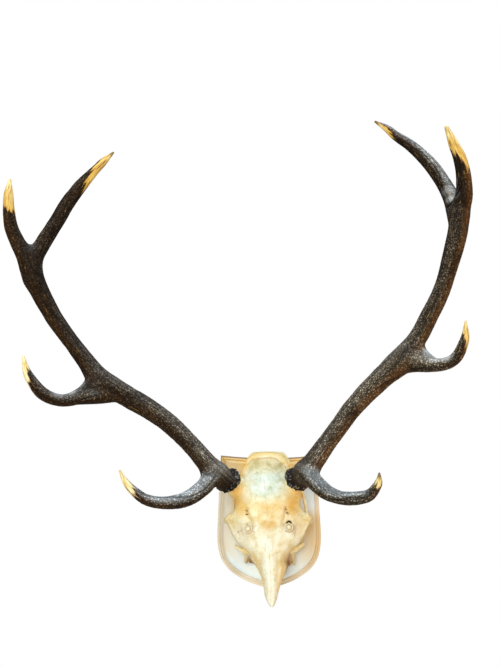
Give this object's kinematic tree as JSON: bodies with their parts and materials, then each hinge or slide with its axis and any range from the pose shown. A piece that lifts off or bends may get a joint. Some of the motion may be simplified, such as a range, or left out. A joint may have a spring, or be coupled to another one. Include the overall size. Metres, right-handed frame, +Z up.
{
  "type": "red deer antler and skull wall trophy",
  "caption": "Pair of branching red deer antlers on a cut skull, screwed through the face to a painted wooden shield that hangs flat on a wall.",
  "frame": {"origin": "middle of the shield's flat back, which lies against the wall", "axes": "+Y points out of the back into the wall, so the trophy faces -Y; +Z is up; +X is the viewer's right"},
  "size_m": [0.8972, 0.3684, 0.9144],
  "materials": {
    "painted_wood": "satin",
    "bone": "satin",
    "antler": "satin",
    "painted_steel": "satin"
  },
  "bodies": {
    "root": {"shield_plaque": "painted_wood", "skull": "bone", "left_lower_beam": "antler", "left_brow_tine": "antler", "left_middle_tine": "antler", "left_upper_beam": "antler", "left_front_tine": "antler", "left_rear_tine": "antler", "right_lower_beam": "antler", "right_brow_tine": "antler", "right_middle_tine": "antler", "right_upper_beam": "antler", "right_front_tine": "antler", "right_rear_tine": "antler", "left_washer": "painted_steel", "right_washer": "painted_steel", "left_screw": "painted_steel", "right_screw": "painted_steel"}
  },
  "joints": []
}
